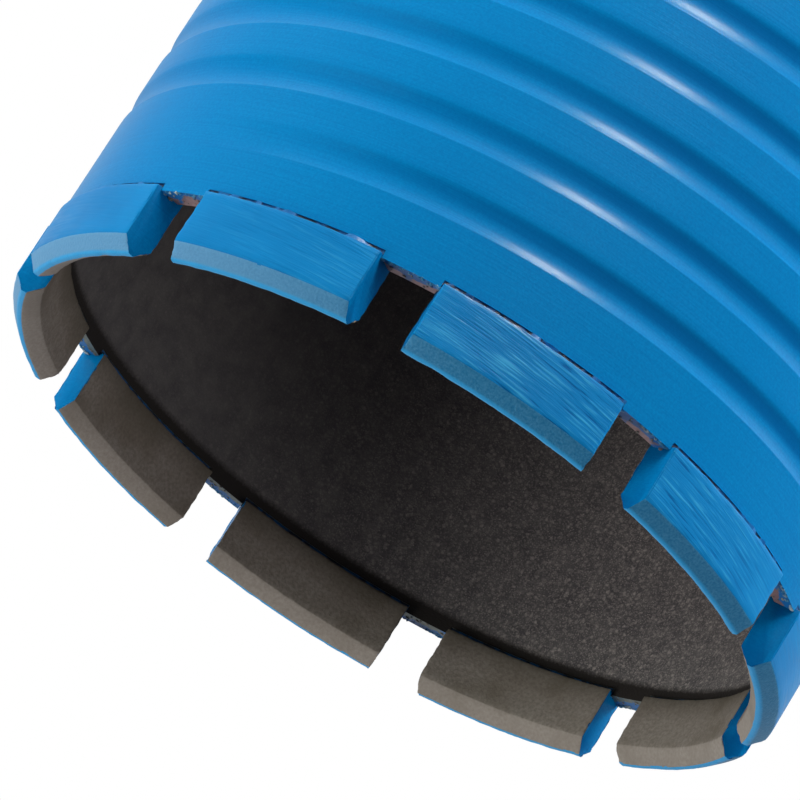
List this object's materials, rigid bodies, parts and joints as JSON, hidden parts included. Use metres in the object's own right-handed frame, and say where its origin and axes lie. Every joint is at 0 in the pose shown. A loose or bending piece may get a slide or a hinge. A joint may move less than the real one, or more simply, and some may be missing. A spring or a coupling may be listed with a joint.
{
  "type": "diamond core bit",
  "caption": "Dry diamond core bit: thin grooved steel barrel with roof-topped diamond segments welded round its rim, and a threaded hub at the back.",
  "frame": {"origin": "centre of the hub's flat seating face, at the lowest point of the standing part", "axes": "+Z along the axis of rotation, from the hub towards the cutting rim; +X through the middle of the first segment"},
  "size_m": [0.102, 0.1016, 0.1908],
  "materials": {
    "blue_paint": "satin",
    "painted_segment": "satin, bare sintered metal inside",
    "weld_metal": "rough",
    "turned_steel": "turned"
  },
  "bodies": {
    "root": {"barrel": "blue_paint", "back_plate": "blue_paint", "plate_weld": "blue_paint", "hub_weld": "blue_paint", "hub": "turned_steel", "segment_01": "painted_segment", "segment_02": "painted_segment", "segment_03": "painted_segment", "segment_04": "painted_segment", "segment_05": "painted_segment", "segment_06": "painted_segment", "segment_07": "painted_segment", "segment_08": "painted_segment", "segment_09": "painted_segment", "segment_10": "painted_segment", "weld_seam_01": "weld_metal", "weld_seam_02": "weld_metal", "weld_seam_03": "weld_metal", "weld_seam_04": "weld_metal", "weld_seam_05": "weld_metal", "weld_seam_06": "weld_metal", "weld_seam_07": "weld_metal", "weld_seam_08": "weld_metal", "weld_seam_09": "weld_metal", "weld_seam_10": "weld_metal"}
  },
  "joints": []
}
